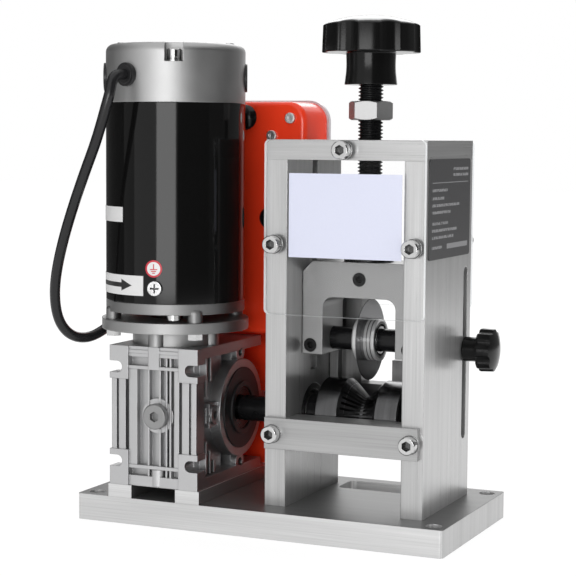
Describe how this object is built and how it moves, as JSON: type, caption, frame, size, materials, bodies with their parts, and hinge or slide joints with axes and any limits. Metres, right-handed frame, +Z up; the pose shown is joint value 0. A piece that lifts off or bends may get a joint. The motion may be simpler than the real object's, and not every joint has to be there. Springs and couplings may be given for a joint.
{
  "type": "electric wire stripping machine",
  "caption": "Bench machine that strips cable: a worm-geared motor turns a grooved feed roller under a round blade, whose carriage a knobbed screw lowers in a plate frame.",
  "frame": {"origin": "centre of the base plate's underside, which is the centre of its mounting hole pattern", "axes": "+Z up, +X along the base from the motor to the frame, +Y to the back, where the cable goes in"},
  "size_m": [0.2389, 0.1401, 0.2886],
  "materials": {
    "base_steel": "brushed plate",
    "frame_aluminium": "brushed plate",
    "cast_aluminium": "satin casting",
    "motor_silver": "satin",
    "motor_black": "gloss black",
    "black_steel": "black oxide",
    "bright_steel": "turned",
    "blade_steel": "ground",
    "screw_chrome": "bright plated",
    "clear_sheet": "clear",
    "label_white": "satin label",
    "label_pale": "satin label",
    "label_dark": "satin label",
    "red_plastic": "gloss red",
    "pale_plastic": "pale edge",
    "black_plastic": "gloss black",
    "black_rubber": "matte",
    "cable_black": "semi-gloss sheath",
    "bronze": "cast bronze",
    "copper": "copper",
    "magnet_grey": "dark grey",
    "board_green": "circuit board"
  },
  "bodies": {
    "frame": {"base_plate": "base_steel", "gearbox_rails": "base_steel", "gearbox_housing": "cast_aluminium", "gearbox_side_cover": "cast_aluminium", "gearbox_seals": "black_rubber", "gearbox_plug": "bright_steel", "drive_bearing_outers": "bright_steel", "worm_bearing_outers": "bright_steel", "input_flange": "cast_aluminium", "flange_bolts": "bright_steel", "motor_lower_cap": "cast_aluminium", "motor_tube": "motor_black", "motor_top_cap": "motor_silver", "motor_magnets": "magnet_grey", "brush_caps": "black_plastic", "carbon_brushes": "magnet_grey", "motor_screws": "bright_steel", "cable_grommet": "black_rubber", "earth_screw": "bright_steel", "motor_labels": "label_white", "motor_cable": "cable_black", "left_side_plate": "frame_aluminium", "right_side_plate": "frame_aluminium", "top_plate": "frame_aluminium", "frame_screws": "black_steel", "front_guard": "clear_sheet", "rear_guard": "clear_sheet", "cap_screws": "screw_chrome", "guard_label": "label_pale", "wire_rest": "frame_aluminium", "nameplate": "label_dark", "control_box": "red_plastic", "control_box_back": "pale_plastic", "control_box_screws": "screw_chrome", "cable_gland": "black_plastic", "mains_bush": "black_plastic", "circuit_board": "board_green"},
    "drive": {"drive_shaft": "black_steel", "worm_wheel": "bronze", "feed_roller": "bright_steel", "shaft_collars": "black_steel", "drive_bearing_inners": "bright_steel"},
    "worm": {"worm_shaft": "bright_steel", "armature": "magnet_grey", "armature_copper": "copper", "worm_bearing_inners": "bright_steel"},
    "carriage": {"carriage": "frame_aluminium", "blade_arbor": "black_steel", "carriage_set_screws": "black_steel", "blade_bearing_inners": "bright_steel", "thrust_disc": "black_steel"},
    "blade": {"cutting_blade": "blade_steel", "blade_hub": "bright_steel", "blade_bearing_outers": "black_rubber"},
    "screw": {"pressure_screw": "black_steel", "star_knob": "black_plastic"},
    "nut": {"lock_nut": "screw_chrome"},
    "guide": {"wire_guide": "frame_aluminium"},
    "side_knob": {"side_knob": "black_plastic"},
    "button": {"power_button": "black_plastic"}
  },
  "joints": [
    {"name": "worm_spin", "type": "hinge", "parent": "frame", "child": "worm", "pos_m": [-0.0617, -0.029, 0.0625], "axis": [0, 0, 1], "continuous": true},
    {"name": "roller_spin", "type": "hinge", "parent": "frame", "child": "drive", "pos_m": [0.0464, 0.001, 0.0625], "axis": [1, 0, 0], "continuous": true},
    {"name": "carriage_slide", "type": "slide", "parent": "frame", "child": "carriage", "axis": [0, 0, 1], "range_m": [-0.004, 0.05]},
    {"name": "screw_turn", "type": "hinge", "parent": "carriage", "child": "screw", "pos_m": [0.0464, -0.001, 0.2195], "axis": [0, 0, 1], "range_deg": [-720, 9000]},
    {"name": "lock_nut_slide", "type": "slide", "parent": "screw", "child": "nut", "axis": [0, 0, 1], "range_m": [-0.006, 0.008]},
    {"name": "blade_spin", "type": "hinge", "parent": "carriage", "child": "blade", "pos_m": [0.0464, 0.001, 0.107], "axis": [1, 0, 0], "continuous": true},
    {"name": "guide_slide", "type": "slide", "parent": "frame", "child": "guide", "axis": [0, 0, 1], "range_m": [-0.045, 0.042]},
    {"name": "side_knob_turn", "type": "hinge", "parent": "guide", "child": "side_knob", "pos_m": [0.094, 0.0307, 0.101], "axis": [1, 0, 0], "range_deg": [0, 360]},
    {"name": "button_press", "type": "slide", "parent": "frame", "child": "button", "axis": [0, 1, 0], "range_m": [0, 0.0025], "stiffness_N_per_m": 300}
  ],
  "couplings": [
    {"joint": "roller_spin", "follows": "worm_spin", "ratio": 0.033333},
    {"joint": "screw_turn", "follows": "carriage_slide", "rad_per_m": 3141.6}
  ]
}
